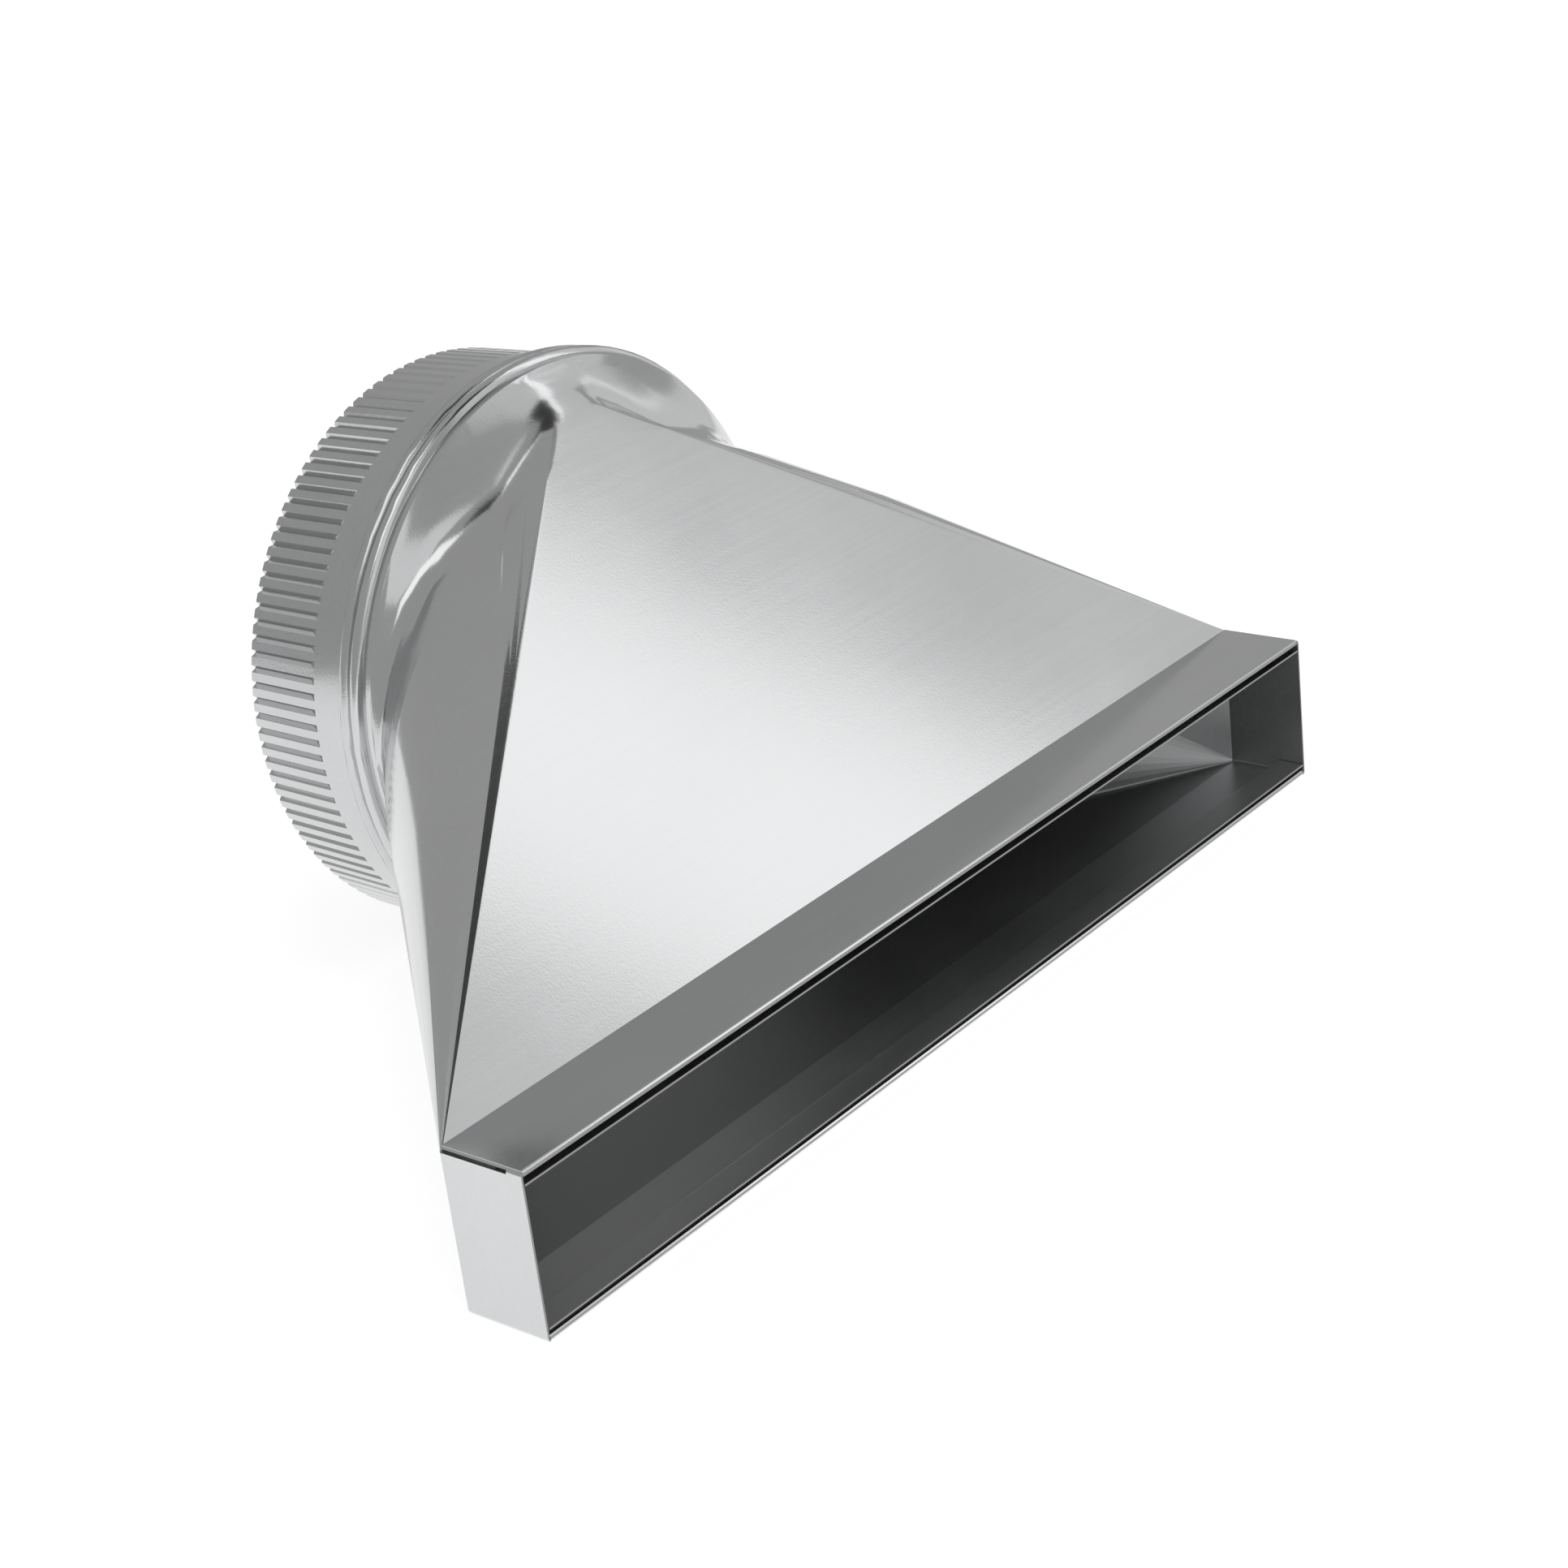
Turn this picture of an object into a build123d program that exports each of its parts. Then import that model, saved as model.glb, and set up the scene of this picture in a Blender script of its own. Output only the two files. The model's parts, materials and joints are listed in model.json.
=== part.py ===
from build123d import *
from math import cos, pi, radians, sin
import os

# Range hood duct transition: a folded sheet body that turns a slim rectangular
# opening into a round neck, and a beaded round collar with a crimped end.
# Millimetres. Origin: middle of the rectangular opening, in its front plane. +Y runs
# towards the round end, +X along the opening, +Z up. The underside is flat.

# Driving dimensions of the body
OPENING_WIDTH = 375.0
OPENING_HEIGHT = 48.0
BODY_SHEET = 0.6
BAND_DEPTH = 27.0
BAND_CORNER_RADIUS = 1.6
NECK_START = 137.0
NECK_LENGTH = 3.0
FLAT_END_SHARE = 0.914
FLAT_TIP_HALF_WIDTH = 7.0
WALL_TIP_HALF_HEIGHT = 1.0

# Driving dimensions of the gussets. Each has a fold beside the top or bottom panel and a shallow
# arch beyond it, and flares out to the round neck. Shares are of the way from the band to the
# neck, and FOLD_SHARES of the way across the gusset.
FOLD_STATIONS = (0.0, 0.57, 0.914, 1.0)
FOLD_SHARES = (0.09, 0.09, 0.24, 0.22)
FOLD_OUTSETS = (0.0, 4.0, 5.5, 6.0)
ARCH_RISES = (0.0, 9.0, 14.0, 14.0)
FLARE_STATIONS = (0.94, 0.96, 0.975, 0.988)
FLARE_START = 0.9
FLARE_POWER = 3
CREASE_REACH = 1.5
SPAN_POINTS = 7
NECK_FOLD_SHARE = 0.22
NECK_CREASE_SHARE = 0.012

# Driving dimensions of the pockets folded into the two long edges
HEM_GAP = 0.8
POCKET_GAP = 1.5
POCKET_DEPTH = 10.0
CORNER_SLIT = 1.0
SLIT_BRIDGE = 5.0
LOWER_LIP_OVERHANG = 1.5
EDGE_SIDES = 12

# Driving dimensions of the round collar
COLLAR_RADIUS = 88.9
COLLAR_SHEET = 0.5
COLLAR_FIT = 0.3
LIP_WIDTH = 4.0
LIP_HEIGHT = 2.4
BEAD_WIDTH = 4.6
BEAD_HEIGHT = 3.0
BEAD_SIDES = 5
PLAIN_LENGTH = 12.0
CRIMP_RUNOUT = 3.0
CRIMP_LENGTH = 24.0
CRIMP_COUNT = 120
CRIMP_DEPTH = 1.5
CRIMP_TAPER = 0.6
CRIMP_CREST_SHARE = 0.55
CRIMP_STEP = 0.03

# Worked out from the above
NECK_INNER_RADIUS = COLLAR_RADIUS + COLLAR_FIT
NECK_RADIUS = NECK_INNER_RADIUS + BODY_SHEET
LIP_RADIUS = NECK_RADIUS + LIP_HEIGHT
BEAD_RADIUS = COLLAR_RADIUS + BEAD_HEIGHT
HALF_WIDTH = OPENING_WIDTH / 2
HALF_HEIGHT = OPENING_HEIGHT / 2
AXIS_RISE = max(BEAD_RADIUS, LIP_RADIUS) - HALF_HEIGHT
LIP_START = NECK_START + NECK_LENGTH
LIP_END = LIP_START + LIP_WIDTH
BEAD_START = LIP_END + COLLAR_FIT
BEAD_END = BEAD_START + BEAD_WIDTH
CRIMP_START = BEAD_END + PLAIN_LENGTH
CRIMP_FULL = CRIMP_START + CRIMP_RUNOUT
COLLAR_END = CRIMP_FULL + CRIMP_LENGTH


def ring_plane(y):
    """Section plane across the flow at y: local x is +X, local y is +Z."""
    return Plane(origin=(0, y, 0), x_dir=(1, 0, 0), z_dir=(0, -1, 0))


def between(share, values):
    """Value at a share of the way to the neck, straight between those at the fold stations."""
    for low, high, first, last in zip(FOLD_STATIONS, FOLD_STATIONS[1:], values, values[1:]):
        if share <= high:
            return first + (last - first) * (share - low) / (high - low)


def eased(before, corner, after):
    """Three points that round a fold: on each side of its corner, and between them."""
    return [before, before * 0.25 + corner * 0.5 + after * 0.25, after]


def arched(start, end, rise):
    """Points between two others, on a shallow arch that bulges out of the body."""
    along = end - start
    outward = Vector(along.Y, -along.X).normalized()
    shares = [step / (SPAN_POINTS + 1) for step in range(1, SPAN_POINTS + 1)]
    return [start + along * share + outward * (4 * rise * share * (1 - share)) for share in shares]


def folded_gusset(share, rise):
    """Upper left gusset part way to the neck, from the top panel's edge to the side panel's."""
    run_out = min(share / FLAT_END_SHARE, 1)
    edge_x = HALF_WIDTH - BAND_CORNER_RADIUS
    edge_z = HALF_HEIGHT - BAND_CORNER_RADIUS
    flat_x = edge_x + run_out * (FLAT_TIP_HALF_WIDTH - edge_x)
    wall_x = HALF_WIDTH + share * (NECK_RADIUS - HALF_WIDTH)
    wall_z = edge_z + run_out * (WALL_TIP_HALF_HEIGHT - edge_z) + share * rise
    flat = Vector(-flat_x, HALF_HEIGHT + share * (rise + NECK_RADIUS - HALF_HEIGHT))
    wall = Vector(-wall_x, wall_z)
    along = wall - flat
    outward = Vector(along.Y, -along.X).normalized()
    fold = flat + along * between(share, FOLD_SHARES) + outward * between(share, FOLD_OUTSETS)
    near = (fold - flat).normalized() * CREASE_REACH
    far = (wall - fold).normalized() * CREASE_REACH
    points = eased(flat + Vector(CREASE_REACH, 0), flat, flat + near)
    points.append((flat + fold) / 2)
    points += eased(fold - near, fold, fold + far)
    return points + arched(fold + far, wall, between(share, ARCH_RISES)) + [wall]


def corner_gusset():
    """The gusset's points where they all lie on the small corner of the band."""
    centre = Vector(BAND_CORNER_RADIUS - HALF_WIDTH, HALF_HEIGHT - BAND_CORNER_RADIUS)
    steps = SPAN_POINTS + 7
    angles = [pi / 2 * (1 + step / steps) for step in range(steps + 1)]
    return [centre + Vector(cos(angle), sin(angle)) * BAND_CORNER_RADIUS for angle in angles]


def neck_gusset_angles():
    """Angles at which the gusset's points lie on the round neck."""
    first = pi / 2 + FLAT_TIP_HALF_WIDTH / NECK_RADIUS
    turn = pi - WALL_TIP_HALF_HEIGHT / NECK_RADIUS - first
    edge, fold = NECK_CREASE_SHARE, NECK_FOLD_SHARE
    shares = [0, edge, 2 * edge, fold / 2, fold - edge, fold, fold + edge]
    span = 1 - fold - edge
    shares += [fold + edge + span * step / (SPAN_POINTS + 1) for step in range(1, SPAN_POINTS + 2)]
    return [first + turn * share for share in shares]


def gusset(share, rise):
    """The gusset at a share of the way to the neck, whose axis is raised by rise."""
    if share == 0:
        return corner_gusset()
    swell = max(0, (share - FLARE_START) / (1 - FLARE_START)) ** FLARE_POWER
    points = []
    for folded, corner, angle in zip(folded_gusset(share, rise), corner_gusset(), neck_gusset_angles()):
        neck = Vector(0, rise) + Vector(cos(angle), sin(angle)) * NECK_RADIUS
        cone = corner + (neck - corner) * share
        points.append(folded + (cone - folded) * swell)
    return points


def ring(share):
    """Anticlockwise ring of points: the upper left gusset, the lower left one and the right."""
    lower = [Vector(point.X, -point.Y) for point in gusset(share, -AXIS_RISE)]
    left = gusset(share, AXIS_RISE) + lower[::-1]
    return left + [Vector(-point.X, point.Y) for point in reversed(left)]


def inner_ring(share, inset):
    """The ring moved in by the sheet, further where the sheet slopes across the flow."""
    if not inset:
        return ring(share)
    step = 0.005
    outer, behind, ahead = ring(share), ring(max(share - step, 0)), ring(share + step)
    run = (NECK_START - BAND_DEPTH) * (share + step - max(share - step, 0))
    moved = []
    for index, point in enumerate(outer):
        along = (outer[(index + 1) % len(outer)] - outer[index - 1]).normalized()
        outward = Vector(along.Y, -along.X)
        slope = (ahead[index] - behind[index]).dot(outward) / run if share else 0
        moved.append(point - outward * (inset * (1 + slope * slope) ** 0.5))
    return moved


def band_ring(inset):
    """Ring of the straight band, moved in by the sheet."""
    side = HALF_WIDTH - BAND_CORNER_RADIUS
    top = HALF_HEIGHT - BAND_CORNER_RADIUS
    shrink = inset / BAND_CORNER_RADIUS
    moved = []
    for point in ring(0):
        centre = Vector(side if point.X > 0 else -side, top if point.Y > 0 else -top)
        moved.append(point + (centre - point) * shrink)
    return moved


def placed(points, y):
    """Points of a section as places in the frame."""
    plane = ring_plane(y)
    return [plane.from_local_coords(point) for point in points]


def polygon(points):
    """Flat face with straight sides."""
    return Face(Wire.make_polygon(points, close=True))


def faceted(rings):
    """Solid whose sides are flat facets from each ring to the next."""
    faces = [polygon(rings[0]), polygon(rings[-1])]
    for start, end in zip(rings, rings[1:]):
        for index in range(len(start)):
            after = (index + 1) % len(start)
            faces.append(polygon([start[index], start[after], end[after]]))
            faces.append(polygon([start[index], end[after], end[index]]))
    return Solid(Shell(faces)).clean()


def neck_face(radius, y):
    """Round face at y, in arcs that end at the ring's points."""
    angles = neck_gusset_angles()
    angles += [2 * pi - angle for angle in reversed(angles)]
    angles += [3 * pi - angle for angle in reversed(angles)]
    edges = []
    for start, end in zip(angles, angles[1:] + [angles[0] + 2 * pi]):
        stops = (start, (start + end) / 2, end)
        points = [Vector(radius * cos(stop), AXIS_RISE + radius * sin(stop)) for stop in stops]
        edges.append(Edge.make_three_point_arc(*placed(points, y)))
    return Face(Wire(edges))


def panels(inset):
    """The solid inside the four flat panels, the four folded gussets and the straight neck."""
    shares = sorted(set(FOLD_STATIONS[1:-1] + FLARE_STATIONS))
    rings = [placed(band_ring(inset), BAND_DEPTH)]
    for share in shares:
        y = BAND_DEPTH + share * (NECK_START - BAND_DEPTH)
        rings.append(placed(inner_ring(share, inset), y))
    neck = neck_face(NECK_RADIUS - inset, NECK_START)
    flare = loft([polygon(rings[-1]), neck], ruled=True)
    return faceted(rings) + flare + extrude(neck, NECK_LENGTH, dir=(0, 1, 0))


def half_ring(radius, turn):
    """Half of a folded edge seen from the side, bulging to the front or the back."""
    fold = RegularPolygon(radius, EDGE_SIDES) - RegularPolygon(radius - BODY_SHEET, EDGE_SIDES)
    return fold & Pos(turn * radius, 0) * Rectangle(2 * radius, 2 * radius)


def layer(start, end, top):
    """A flat layer of the sheet seen from the side, from start to end along the flow."""
    return Pos((start + end) / 2, top - BODY_SHEET / 2) * Rectangle(end - start, BODY_SHEET)


def pocket():
    """The fold in a long edge: out to the nose, back under it, and forward again."""
    nose = BODY_SHEET + HEM_GAP / 2
    back = BODY_SHEET + POCKET_GAP / 2
    bend = POCKET_DEPTH - back
    middle_top = -2 * nose + BODY_SHEET
    inner_top = middle_top - 2 * back + BODY_SHEET
    section = layer(nose, BAND_DEPTH, 0) + Pos(nose, -nose) * half_ring(nose, -1)
    section += layer(nose, bend, middle_top) + Pos(bend, middle_top - back) * half_ring(back, 1)
    section += layer(0.0, bend, inner_top)
    return Plane.YZ * section


def band():
    """The straight band round the opening: two pocketed long sides and two plain ends."""
    rings = [polygon(placed(band_ring(inset), 0)) for inset in (0.0, BODY_SHEET)]
    outer, inner = [extrude(ring, BAND_DEPTH, dir=(0, 1, 0)) for ring in rings]
    ring = outer - inner
    nose = BODY_SHEET + HEM_GAP / 2
    inner_half = HALF_WIDTH - BODY_SHEET - COLLAR_FIT
    ring -= Pos(0, nose / 2, 0) * Box(2 * inner_half, nose, 2 * OPENING_HEIGHT)
    slit_y = (SLIT_BRIDGE + BAND_DEPTH) / 2
    slit_z = HALF_HEIGHT - BODY_SHEET - CORNER_SLIT / 2
    for sx in (-1, 1):
        slit = Box(4 * BODY_SHEET, BAND_DEPTH - SLIT_BRIDGE, CORNER_SLIT)
        ring -= Pos(sx * HALF_WIDTH, slit_y, slit_z) * slit
    upper = Pos(0, 0, HALF_HEIGHT) * extrude(pocket(), inner_half, both=True)
    lip_half = (BODY_SHEET + COLLAR_FIT + LOWER_LIP_OVERHANG) / 2
    lip = Pos(inner_half + lip_half, 0, HALF_HEIGHT) * extrude(pocket_lip(), lip_half, both=True)
    return ring + upper + mirror(upper, about=Plane.XY) + mirror(lip, about=Plane.XY)


def pocket_lip():
    """The nose of the fold and the two layers right behind it, seen from the side."""
    nose = BODY_SHEET + HEM_GAP / 2
    end = POCKET_DEPTH / 2
    lip = layer(nose, end, 0) + Pos(nose, -nose) * half_ring(nose, -1)
    return lip + layer(nose, end, -2 * nose + BODY_SHEET)


def arch(start, end, base, crest, sides):
    """Half-round with an odd number of sides, in (along, radius), over a stretch of tube."""
    turns = [pi * (1 - step / sides) for step in range(sides + 1)]
    middle, reach = (start + end) / 2, (end - start) / 2
    rise = (crest - base) / cos(pi / (2 * sides))
    points = [(middle + reach * cos(turn), base + rise * sin(turn)) for turn in turns]
    return make_face(Polyline(*points, close=True))


def bead_section(start, end, base, height, sheet):
    """Bead raised out of a tube wall, as a hollow section in (along, radius)."""
    crest = base + height
    outer = arch(start, end, base, crest, BEAD_SIDES)
    hollow = arch(start + sheet * 0.8, end - sheet * 0.8, base - sheet, crest - sheet, BEAD_SIDES - 2)
    return wall_section(start, end, base, sheet) + outer - hollow


def wall_section(start, end, radius, sheet):
    """Straight tube wall in (along, radius)."""
    return Pos((start + end) / 2, radius - sheet / 2) * Rectangle(end - start, sheet)


def spin(section):
    """Revolves a section in (along, radius) about the axis of the round end."""
    plane = Plane(origin=(0, 0, AXIS_RISE), x_dir=(0, 1, 0), z_dir=(1, 0, 0))
    return revolve(plane * section, Axis((0, 0, AXIS_RISE), (0, 1, 0)))


def transition_body():
    """Band, folded panels and the round neck with its rolled lip, in one sheet."""
    lip = spin(bead_section(LIP_START, LIP_END, NECK_RADIUS, LIP_HEIGHT, BODY_SHEET))
    return (panels(0.0) - panels(BODY_SHEET)) + band() + lip


def crimp_ring(crest, valley, y):
    """Many-sided ring whose narrow grooves lie between broad crests."""
    pitch = 2 * pi / CRIMP_COUNT
    groove = (1 + CRIMP_CREST_SHARE) / 2
    points = []
    for index in range(CRIMP_COUNT):
        for turn, radius in ((0, crest), (CRIMP_CREST_SHARE, crest), (groove, valley)):
            angle = (index + turn) * pitch
            points.append(Vector(radius * cos(angle), y, AXIS_RISE + radius * sin(angle)))
    return points


def crimp_side(index, ring, following):
    """Flat facets between two rings: a crest's strip, or the two triangles of a groove's side."""
    after = (index + 1) % len(ring)
    a, b, c, d = ring[index], ring[after], following[after], following[index]
    if index % 3 == 0:
        return [(a, b, c, d)]
    if index % 3 == 1:
        return [(a, b, c), (a, c, d)]
    return [(a, b, d), (b, c, d)]


def crimp_rings(inset):
    """Rings of the outer or the inner face of the crimped end, from the plain tube outwards."""
    radius = COLLAR_RADIUS - inset
    return [
        crimp_ring(radius, radius, CRIMP_START),
        crimp_ring(radius, radius - CRIMP_DEPTH, CRIMP_FULL),
        crimp_ring(radius - CRIMP_TAPER, radius - CRIMP_TAPER - CRIMP_DEPTH, COLLAR_END),
    ]


def crimped_end():
    """The end of the collar, drawn in by grooves so that it slips into the next duct."""
    outer, inner = crimp_rings(CRIMP_STEP), crimp_rings(COLLAR_SHEET - CRIMP_STEP)
    facets = []
    for start, full, end in (outer, inner):
        for index in range(len(start)):
            facets += crimp_side(index, start, full) + crimp_side(index, full, end)
    faces = [polygon(facet) for facet in facets]
    for end in (0, -1):
        rim, bore = [Wire.make_polygon(rings[end], close=True) for rings in (outer, inner)]
        faces.append(Face(rim, [bore]))
    return Solid(Shell(faces))


def round_collar():
    """Tube that sits in the neck, with a bead against the lip and a crimped end."""
    section = wall_section(NECK_START + COLLAR_FIT, BEAD_START, COLLAR_RADIUS, COLLAR_SHEET)
    section += bead_section(BEAD_START, BEAD_END, COLLAR_RADIUS, BEAD_HEIGHT, COLLAR_SHEET)
    section += wall_section(BEAD_END, CRIMP_START, COLLAR_RADIUS, COLLAR_SHEET)
    return spin(section) + crimped_end()


def write(name, shape):
    """Writes one node as a STEP file."""
    solid = shape.solids()[0]
    solid.label = name
    export_step(solid, f"parts/{name}.step")


os.makedirs("parts", exist_ok=True)
write("transition_body", transition_body())
write("round_collar", round_collar())
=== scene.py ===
import json
from math import pi, radians

import bpy
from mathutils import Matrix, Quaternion, Vector

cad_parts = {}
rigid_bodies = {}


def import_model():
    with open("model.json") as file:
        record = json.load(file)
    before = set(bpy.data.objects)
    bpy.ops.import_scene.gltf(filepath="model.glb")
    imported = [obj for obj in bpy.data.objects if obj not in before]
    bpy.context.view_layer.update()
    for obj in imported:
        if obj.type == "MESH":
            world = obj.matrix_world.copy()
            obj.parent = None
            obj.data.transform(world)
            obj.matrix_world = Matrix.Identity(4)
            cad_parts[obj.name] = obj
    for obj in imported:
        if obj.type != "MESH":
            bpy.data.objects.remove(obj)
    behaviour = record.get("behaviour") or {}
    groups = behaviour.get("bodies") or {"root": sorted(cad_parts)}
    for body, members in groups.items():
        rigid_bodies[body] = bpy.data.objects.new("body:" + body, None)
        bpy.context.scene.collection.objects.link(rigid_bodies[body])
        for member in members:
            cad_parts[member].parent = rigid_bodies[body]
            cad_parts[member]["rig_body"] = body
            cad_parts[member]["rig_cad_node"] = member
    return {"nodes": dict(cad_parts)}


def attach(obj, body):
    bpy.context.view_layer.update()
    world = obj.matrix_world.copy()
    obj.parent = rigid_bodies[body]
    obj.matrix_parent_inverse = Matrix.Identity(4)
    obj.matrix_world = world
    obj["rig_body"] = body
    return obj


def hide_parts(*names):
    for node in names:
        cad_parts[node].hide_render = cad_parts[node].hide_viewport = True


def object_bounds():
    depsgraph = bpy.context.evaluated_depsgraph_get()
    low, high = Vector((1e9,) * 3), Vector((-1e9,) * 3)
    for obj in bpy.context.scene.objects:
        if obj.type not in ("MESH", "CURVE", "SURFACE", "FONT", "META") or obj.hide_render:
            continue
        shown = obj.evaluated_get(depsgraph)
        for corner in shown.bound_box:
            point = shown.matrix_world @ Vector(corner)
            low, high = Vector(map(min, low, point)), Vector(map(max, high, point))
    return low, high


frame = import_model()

cad_low, cad_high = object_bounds()
bpy.ops.object.select_all(action="DESELECT")

# Transition body. One sheet of bright galvanised steel, folded at the panel edges, with pockets
# folded into the long edges of the opening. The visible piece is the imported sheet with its
# loose faces joined, so that the gussets and the neck shade as the smooth curves they are.
JOIN_DISTANCE = 2e-5
PANEL_START = 0.027
FLARE_CUTS = (PANEL_START, 0.1165, 0.119, 0.1215, 0.1235, 0.1255, 0.129)
FLARE_SPAN = (0.118, 0.1353)
FLARE_PULL = 0.5
FLARE_PASSES = 8
PANEL_SMOOTH_ANGLE = radians(24)
LIP_SMOOTH_ANGLE = radians(60)
LIP_START = 0.128
NECK_PLANE = 0.137
NECK_REACH = 2e-4
AREA_WEIGHT = 80


def joined_copy(node, name):
    """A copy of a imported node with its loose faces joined."""
    piece = frame["nodes"][node].copy()
    piece.data = piece.data.copy()
    piece.name = piece.data.name = name
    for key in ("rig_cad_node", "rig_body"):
        if key in piece:
            del piece[key]
    bpy.context.collection.objects.link(piece)
    bpy.ops.object.select_all(action="DESELECT")
    piece.select_set(True)
    bpy.context.view_layer.objects.active = piece
    bpy.ops.object.mode_set(mode="EDIT")
    bpy.ops.mesh.select_all(action="SELECT")
    bpy.ops.mesh.remove_doubles(threshold=JOIN_DISTANCE)
    bpy.ops.mesh.customdata_custom_splitnormals_clear()
    bpy.ops.object.mode_set(mode="OBJECT")
    piece.data.materials.clear()
    return piece


def ease_flare(piece):
    """Cuts rings where the panels turn into the neck, and eases the corners between them."""
    bpy.ops.object.mode_set(mode="EDIT")
    for place in FLARE_CUTS:
        bpy.ops.mesh.select_all(action="SELECT")
        bpy.ops.mesh.bisect(plane_co=(0, place, 0), plane_no=(0, 1, 0))
    bpy.ops.mesh.select_all(action="DESELECT")
    bpy.ops.object.mode_set(mode="OBJECT")
    for corner in piece.data.vertices:
        corner.select = FLARE_SPAN[0] < corner.co.y < FLARE_SPAN[1]
    bpy.ops.object.mode_set(mode="EDIT")
    bpy.ops.mesh.select_mode(type="VERT")
    bpy.ops.mesh.vertices_smooth(factor=FLARE_PULL, repeat=FLARE_PASSES)
    bpy.ops.object.mode_set(mode="OBJECT")


def shade(piece, angle, start=None):
    """Smooth shading, with the edges steeper than the angle left crisp from the start plane on."""
    bpy.ops.object.mode_set(mode="EDIT")
    bpy.ops.mesh.select_mode(type="EDGE")
    bpy.ops.mesh.select_all(action="DESELECT")
    bpy.ops.mesh.edges_select_sharp(sharpness=angle)
    bpy.ops.object.mode_set(mode="OBJECT")
    for edge in piece.data.edges:
        nearest = min(piece.data.vertices[end].co.y for end in edge.vertices)
        if start is None or nearest > start:
            edge.use_edge_sharp = edge.select
    bpy.ops.object.shade_smooth(keep_sharp_edges=True)


def crisp_ring(piece, plane):
    """Marks the ring of edges that lies in a plane across the duct as crisp."""
    for edge in piece.data.edges:
        offsets = [abs(piece.data.vertices[end].co.y - plane) for end in edge.vertices]
        if max(offsets) < NECK_REACH:
            edge.use_edge_sharp = True


def lead_by_area(piece):
    """Lets the large flat faces lead the shading of the small ones beside them."""
    bpy.ops.object.modifier_add(type="WEIGHTED_NORMAL")
    leader = piece.modifiers[0]
    leader.weight = AREA_WEIGHT
    leader.keep_sharp = True
    bpy.ops.object.modifier_apply(modifier=leader.name)
    piece.select_set(False)


NODE_SPACING = (200, -180)
NOISE_ROUGHNESS = 0.55
NOISE_MIDDLE = (0.3, 0.7)
STREAK_SHARE = 0.35
RELIEF_STRENGTH = 0.25
RELIEF_DEPTH = 0.001


def add(tree, kind, place, **settings):
    """Adds one node at its place in the tree and sets its properties."""
    node = tree.nodes.new(kind)
    node.location = (place[0] * NODE_SPACING[0], place[1] * NODE_SPACING[1])
    for key, value in settings.items():
        setattr(node, key, value)
    return node


def sheet_noise(tree, coordinates, row, scale, detail, stretch=(1, 1, 1)):
    """Noise on the piece's own coordinates, drawn out along one axis for rolling marks."""
    mapping = add(tree, "ShaderNodeMapping", (1, row))
    mapping.inputs["Scale"].default_value = stretch
    noise = add(tree, "ShaderNodeTexNoise", (2, row))
    noise.inputs["Scale"].default_value = scale
    noise.inputs["Detail"].default_value = detail
    noise.inputs["Roughness"].default_value = NOISE_ROUGHNESS
    tree.links.new(coordinates.outputs["Object"], mapping.inputs["Vector"])
    tree.links.new(mapping.outputs["Vector"], noise.inputs["Vector"])
    return noise.outputs["Fac"]


def spread(tree, row, source):
    """Spreads the middle of a noise from -1 to 1."""
    node = add(tree, "ShaderNodeMapRange", (3, row))
    node.inputs["From Min"].default_value, node.inputs["From Max"].default_value = NOISE_MIDDLE
    node.inputs["To Min"].default_value = -1
    node.inputs["To Max"].default_value = 1
    tree.links.new(source, node.inputs["Value"])
    return node.outputs["Result"]


def multiplied(tree, place, source, factor, offset=None):
    """The source times a factor, plus an offset where one is given."""
    kind = "MULTIPLY" if offset is None else "MULTIPLY_ADD"
    node = add(tree, "ShaderNodeMath", place, operation=kind)
    tree.links.new(source, node.inputs[0])
    for socket, value in zip(node.inputs[1:], (factor, offset)):
        if isinstance(value, (int, float)):
            socket.default_value = value
        elif value is not None:
            tree.links.new(value, socket)
    return node.outputs[0]


def zinc_finish_group():
    """Tone, roughness and relief of rolled zinc-coated sheet."""
    group = bpy.data.node_groups.new("zinc_finish", "ShaderNodeTree")
    for label in ("Tone Spread", "Dullness", "Dullness Spread", "Grain", "Waviness"):
        group.interface.new_socket(label, in_out="INPUT", socket_type="NodeSocketFloat")
    for label in ("Tone", "Roughness", "Height"):
        group.interface.new_socket(label, in_out="OUTPUT", socket_type="NodeSocketFloat")
    given = add(group, "NodeGroupInput", (0, 0)).outputs
    made = add(group, "NodeGroupOutput", (8, 0)).inputs
    coordinates = add(group, "ShaderNodeTexCoord", (0, 2))
    cloud = sheet_noise(group, coordinates, row=1, scale=14, detail=4)
    streaks = sheet_noise(group, coordinates, row=2, scale=4, detail=2, stretch=(3, 160, 160))
    pores = sheet_noise(group, coordinates, row=3, scale=1400, detail=2)
    waves = sheet_noise(group, coordinates, row=4, scale=7, detail=0)
    clouds_spread, streaks_spread = spread(group, 1, cloud), spread(group, 2, streaks)
    marks = multiplied(group, (4, 1), streaks_spread, STREAK_SHARE, clouds_spread)
    tone =multiplied(group, (5, 1), marks, given["Tone Spread"], 1)
    rough = multiplied(group, (5, 2), marks, given["Dullness Spread"], given["Dullness"])
    grain = multiplied(group, (5, 3), pores, given["Grain"])
    relief = multiplied(group, (6, 4), waves, given["Waviness"], grain)
    group.links.new(tone, made["Tone"])
    group.links.new(rough, made["Roughness"])
    group.links.new(relief, made["Height"])
    return group


ZINC_FINISH = zinc_finish_group()


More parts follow.
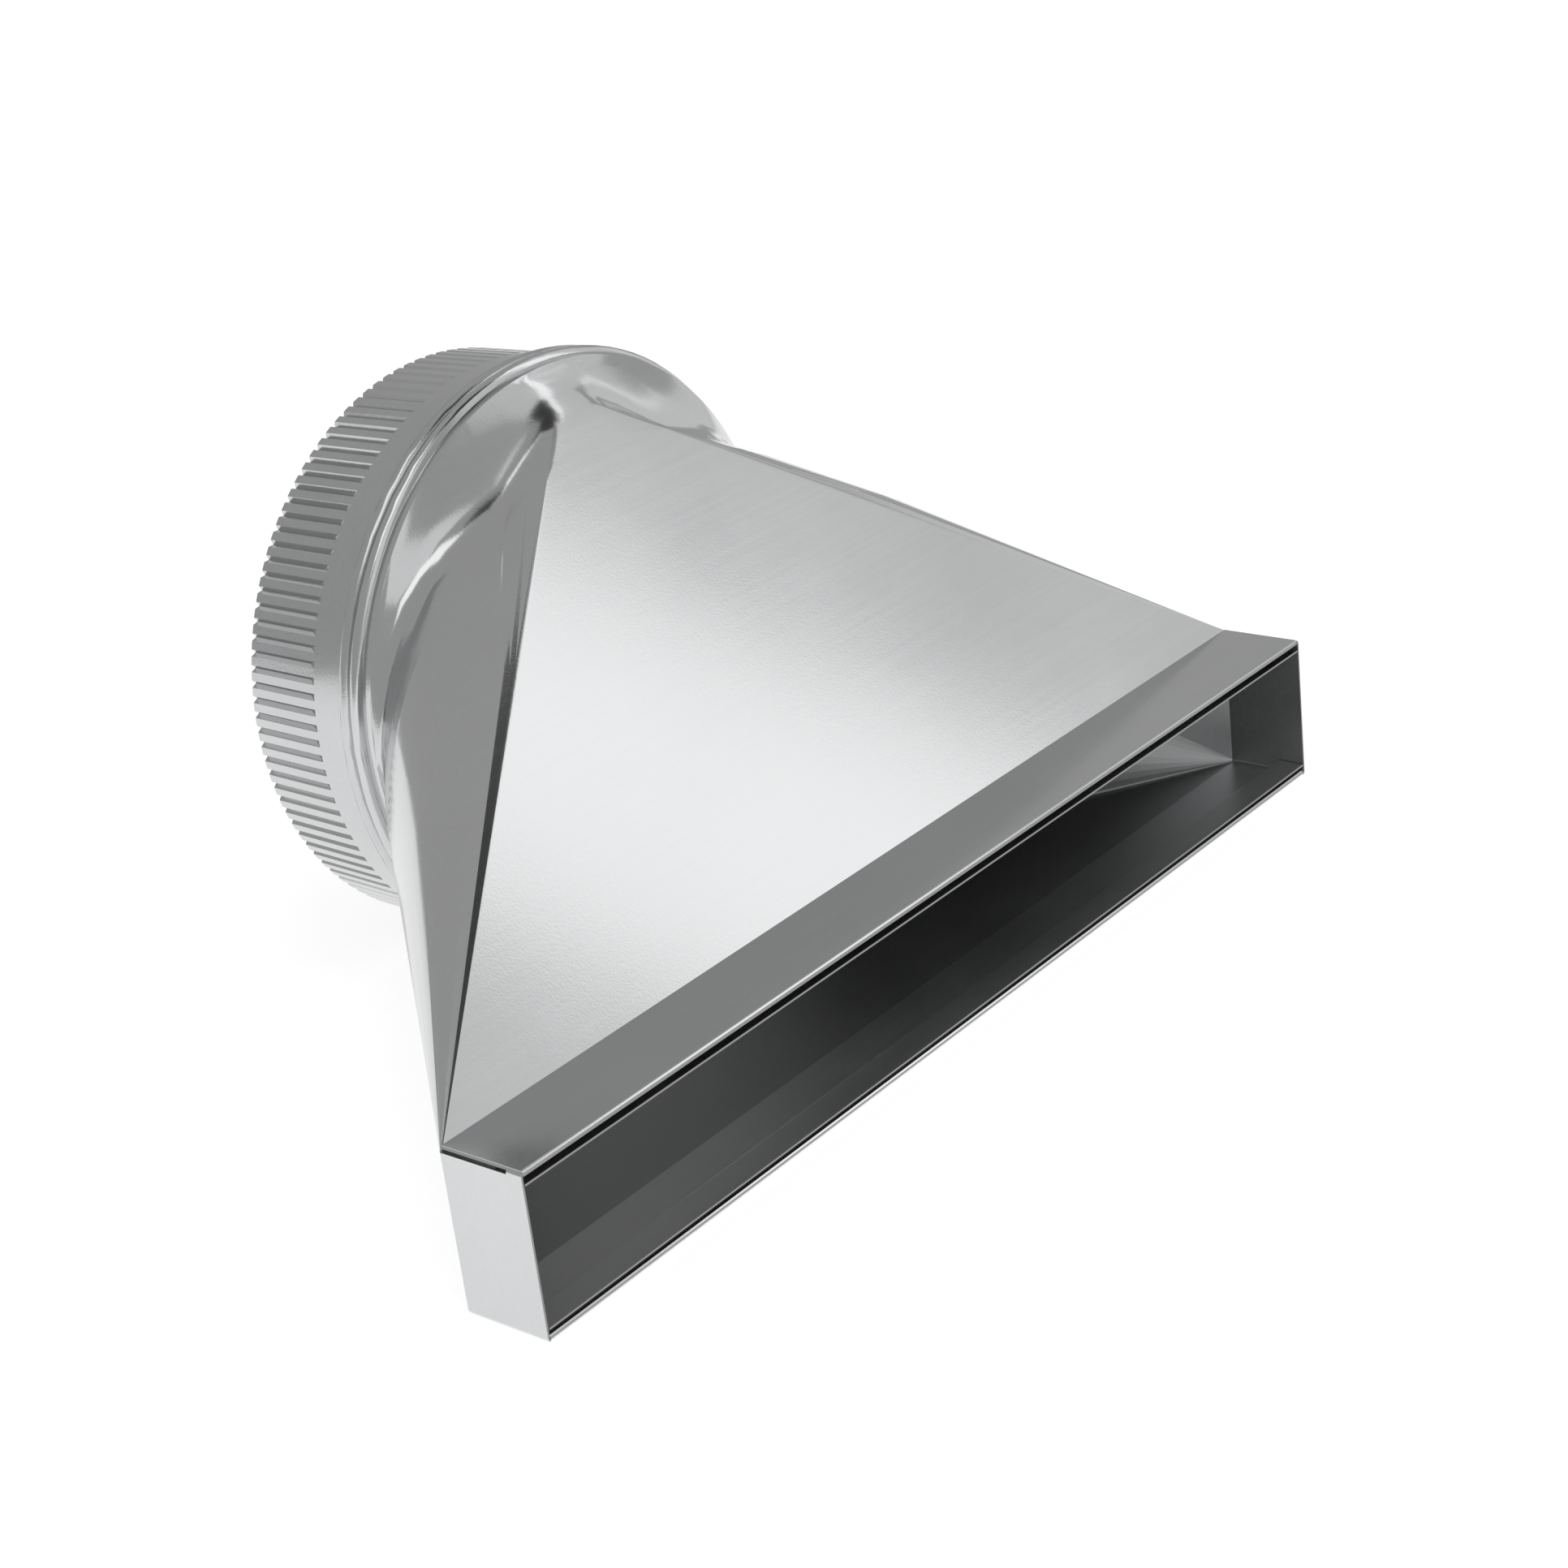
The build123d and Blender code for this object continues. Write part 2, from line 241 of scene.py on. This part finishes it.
def zinc_material(name, colour, **finish):
    """Zinc-coated steel with its own colour and finish values."""
    material = bpy.data.materials.new(name)
    material.use_nodes = True
    tree = material.node_tree
    shader = tree.nodes["Principled BSDF"]
    shader.inputs["Metallic"].default_value = 1.0
    marks = add(tree, "ShaderNodeGroup", (-6, 0), node_tree=ZINC_FINISH)
    for label, value in finish.items():
        marks.inputs[label.replace("_", " ").title()].default_value = value
    toned = add(tree, "ShaderNodeMix", (-3, 0), data_type="RGBA", blend_type="MULTIPLY")
    toned.inputs["Factor"].default_value = 1.0
    toned.inputs["A"].default_value = (*colour, 1)
    tree.links.new(marks.outputs["Tone"], toned.inputs["B"])
    tree.links.new(toned.outputs["Result"], shader.inputs["Base Color"])
    tree.links.new(marks.outputs["Roughness"], shader.inputs["Roughness"])
    relief = add(tree, "ShaderNodeBump", (-3, 2))
    relief.inputs["Strength"].default_value = RELIEF_STRENGTH
    relief.inputs["Distance"].default_value = RELIEF_DEPTH
    tree.links.new(marks.outputs["Height"], relief.inputs["Height"])
    tree.links.new(relief.outputs["Normal"], shader.inputs["Normal"])
    return material


BODY_ZINC = (0.62, 0.625, 0.63)
# The inside of the panels gets a darker copy of the sheet colour: painted shade for the deep
# inside of the duct, where little light reaches.
SHADED_INNER_ZINC = (0.42, 0.425, 0.43)
INNER_START = 0.0012
MIDDLE_RISE = 0.4
INNER_FACE, SHADED_INNER_PANEL = 1, 2
body = joined_copy("transition_body", "folded_body")
ease_flare(body)
shade(body, PANEL_SMOOTH_ANGLE)
shade(body, LIP_SMOOTH_ANGLE, LIP_START)
crisp_ring(body, NECK_PLANE)
lead_by_area(body)
body.data.materials.append(zinc_material(
    "bright_body_sheet", BODY_ZINC,
    tone_spread=0.03, dullness=0.15, dullness_spread=0.015, grain=0.05, waviness=0.4))
body.data.materials.append(zinc_material(
    "dull_inner_face", BODY_ZINC,
    tone_spread=0.06, dullness=0.36, dullness_spread=0.04, grain=0.08, waviness=0.3))
body.data.materials.append(zinc_material(
    "dull_inner_panel_painted_shade", SHADED_INNER_ZINC,
    tone_spread=0.06, dullness=0.4, dullness_spread=0.04, grain=0.08, waviness=0.3))
# Faces that look toward the axis are the inside. Past the band they get the darker material,
# painted shade for the inside of the duct; inside the band they keep the sheet colour.
for face in body.data.polygons:
    inward = Vector((0, 0, MIDDLE_RISE * face.center.y)) - face.center
    inward.y = 0
    if face.center.y > INNER_START and face.normal.dot(inward) > 0:
        face.material_index = INNER_FACE if face.center.y < PANEL_START else SHADED_INNER_PANEL
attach(body, "root")
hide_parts("transition_body")

# Round collar. A tube of the same sheet, a little duller from the crimping rolls, with a bead
# rolled against the neck's lip and narrow grooves pressed into the end that enters the next duct.
COLLAR_SMOOTH_ANGLE = radians(45)
COLLAR_ZINC = (0.60, 0.605, 0.61)
collar = joined_copy("round_collar", "crimped_collar")
shade(collar, COLLAR_SMOOTH_ANGLE)
lead_by_area(collar)
collar.data.materials.append(zinc_material(
    "crimped_collar_sheet", COLLAR_ZINC,
    tone_spread=0.05, dullness=0.2, dullness_spread=0.03, grain=0.08, waviness=0.3))
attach(collar, "root")
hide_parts("round_collar")

# Pale studio floor. A sheet of white paper with a faint glow, so that it reads white. It lies a
# hair under the flat underside of the part and is large enough to fill the view.
FLOOR_SIZE = 14.0
FLOOR_GAP = 0.0002
FLOOR_WHITE = 0.93
FLOOR_GLOW = 0.6
PAPER_ROUGHNESS = 0.9


def matt_material(name, tone, roughness, glow):
    """A plain matt grey with an even glow of its own."""
    material = bpy.data.materials.new(name)
    material.use_nodes = True
    inputs = material.node_tree.nodes["Principled BSDF"].inputs
    inputs["Base Color"].default_value = (tone, tone, tone, 1)
    inputs["Roughness"].default_value = roughness
    inputs["Emission Color"].default_value = (1, 1, 1, 1)
    inputs["Emission Strength"].default_value = glow
    return material


bpy.ops.mesh.primitive_plane_add(size=FLOOR_SIZE, location=(0, 0, cad_low.z - FLOOR_GAP))
floor = bpy.context.object
floor.name = "studio_floor"
floor.data.materials.append(matt_material("white_paper", FLOOR_WHITE, PAPER_ROUGHNESS, FLOOR_GLOW))

# Bore flag. A round grey card that stands in the bore of the round end, unseen by the camera, so
# that no light runs through the duct and its inside is as dark as in the photograph.
FLAG_RADIUS = 0.086
FLAG_CORNERS = 96
FLAG_PLACE = (0, 0.186, 0.0682)
FLAG_UPRIGHT = (pi / 2, 0, 0)
FLAG_LEVEL = 0.2
CARD_TONE = 0.02
bpy.ops.mesh.primitive_circle_add(
    vertices=FLAG_CORNERS, radius=FLAG_RADIUS, fill_type="NGON",
    location=FLAG_PLACE, rotation=FLAG_UPRIGHT)
flag = bpy.context.object
flag.name = "bore_flag"
flag.data.materials.append(matt_material("grey_card", CARD_TONE, PAPER_ROUGHNESS, FLAG_LEVEL))
flag.visible_camera = False

# Front card. A sheet of grey paper that lies on the floor in front of the opening. Only mirrors
# see it, so that the folded front edges don't show the white floor.
CARD_SIZE = (3.4, 2.5)
CARD_MIDDLE = (1.4, -1.2505)
CARD_LIFT = 0.0002
CARD_LEVEL = 0.42


def show_to_mirrors(card):
    """Hides a card from the camera and from plain light, so that only mirrors see it."""
    card.visible_camera = False
    card.visible_diffuse = False
    card.visible_shadow = False


bpy.ops.mesh.primitive_plane_add(size=1, location=(*CARD_MIDDLE, cad_low.z + CARD_LIFT))
front_card = bpy.context.object
front_card.name = "front_card"
front_card.scale = (*CARD_SIZE, 1)
bpy.ops.object.transform_apply(location=True, rotation=True, scale=True)
front_card.data.materials.append(
    matt_material("grey_paper", CARD_TONE, PAPER_ROUGHNESS, CARD_LEVEL))
show_to_mirrors(front_card)

# Studio light. A grey room that shows white to the camera, a broad soft wall with a bright strip
# in front of it that the top panel mirrors, a side wall for the far gusset, and two lamps,
# overhead and in front, for the folds and beads.
ROOM_LEVEL = 0.42
PANEL_MIDDLE = Vector((-0.047, 0.058, 0.062))
world = bpy.data.worlds.new("studio_room")
bpy.context.scene.world = world
world.use_nodes = True
room = world.node_tree
mirrored = room.nodes["Background"]
mirrored.inputs["Color"].default_value = (ROOM_LEVEL, ROOM_LEVEL, ROOM_LEVEL, 1)
seen = add(room, "ShaderNodeBackground", (0, 2))
seen.inputs["Color"].default_value = (1, 1, 1, 1)
path = add(room, "ShaderNodeLightPath", (0, -2))
choose = add(room, "ShaderNodeMixShader", (2, 0))
room.links.new(path.outputs["Is Camera Ray"], choose.inputs["Fac"])
room.links.new(mirrored.outputs["Background"], choose.inputs[1])
room.links.new(seen.outputs["Background"], choose.inputs[2])
room.links.new(choose.outputs["Shader"], room.nodes["World Output"].inputs["Surface"])


def soft_lamp(name, toward, distance, width, height, level):
    """A soft lamp that faces the top panel, at a level of brightness seen in a mirror."""
    lamp_data = bpy.data.lights.new(name, "AREA")
    lamp_data.shape = "RECTANGLE"
    lamp_data.size = width
    lamp_data.size_y = height
    lamp_data.energy = level * pi * width * height
    lamp = bpy.data.objects.new(name, lamp_data)
    bpy.context.collection.objects.link(lamp)
    toward = Vector(toward).normalized()
    lamp.location = PANEL_MIDDLE + toward * distance
    lamp.rotation_mode = "QUATERNION"
    lamp.rotation_quaternion = (-toward).to_track_quat("-Z", "Y")


soft_lamp("soft_wall", toward=(0.68, -0.49, 0.54), distance=2.2, width=2.0, height=1.6, level=0.3)
soft_lamp(
    "bright_strip", toward=(0.667, -0.507, 0.54), distance=1.6, width=0.31, height=1.0, level=0.68)
soft_lamp("side_wall", toward=(0.97, -0.02, 0.22), distance=2.4, width=1.2, height=1.0, level=0.33)
soft_lamp(
    "overhead_lamp", toward=(-0.35, -0.45, 0.82), distance=1.5, width=0.5, height=1.3, level=1.0)
soft_lamp(
    "front_lamp", toward=(-0.12, -0.87, 0.48), distance=1.5, width=0.7, height=1.3, level=0.45)

# Overhead flag. A sheet of black felt that hangs over the part. Only mirrors see it, so that the
# near fold and the beads have the dark line beside their highlights.
FELT_SIZE = (0.5, 0.7)
FELT_TOWARD = Vector((0.28, -0.38, 0.88)).normalized()
FELT_DISTANCE = 1.4
FELT_ROUGHNESS = 0.5
bpy.ops.mesh.primitive_plane_add(size=1, location=(0, 0, 0))
overhead_flag = bpy.context.object
overhead_flag.name = "overhead_flag"
overhead_flag.scale = (*FELT_SIZE, 1)
overhead_flag.location = PANEL_MIDDLE + FELT_TOWARD * FELT_DISTANCE
overhead_flag.rotation_mode = "QUATERNION"
overhead_flag.rotation_quaternion = FELT_TOWARD.to_track_quat("Z", "Y")
bpy.ops.object.transform_apply(location=True, rotation=True, scale=True)
overhead_flag.data.materials.append(matt_material("black_felt", CARD_TONE, FELT_ROUGHNESS, glow=0))
show_to_mirrors(overhead_flag)

# Camera. It stands in front on the left and above, where the photograph was taken from, and is
# rolled a few degrees as the photograph is.
CAMERA_PLACE = (-0.6047, -0.4559, 0.3732)
CAMERA_AZIMUTH = radians(49.26)
CAMERA_DOWN = radians(22.82)
CAMERA_ROLL = radians(-6.99)
CAMERA_LENS = 68.04
camera_data = bpy.data.cameras.new("studio_camera")
camera_data.lens = CAMERA_LENS
camera = bpy.data.objects.new("studio_camera", camera_data)
bpy.context.collection.objects.link(camera)
camera.location = CAMERA_PLACE
turned = Quaternion((0, 0, 1), -CAMERA_AZIMUTH)
forward = turned @ (Quaternion((1, 0, 0), -CAMERA_DOWN) @ Vector((0, 1, 0)))
camera.rotation_mode = "QUATERNION"
camera.rotation_quaternion = forward.to_track_quat("-Z", "Y") @ Quaternion((0, 0, 1), CAMERA_ROLL)
bpy.context.scene.camera = camera

bpy.context.scene.view_settings.view_transform = "Standard"
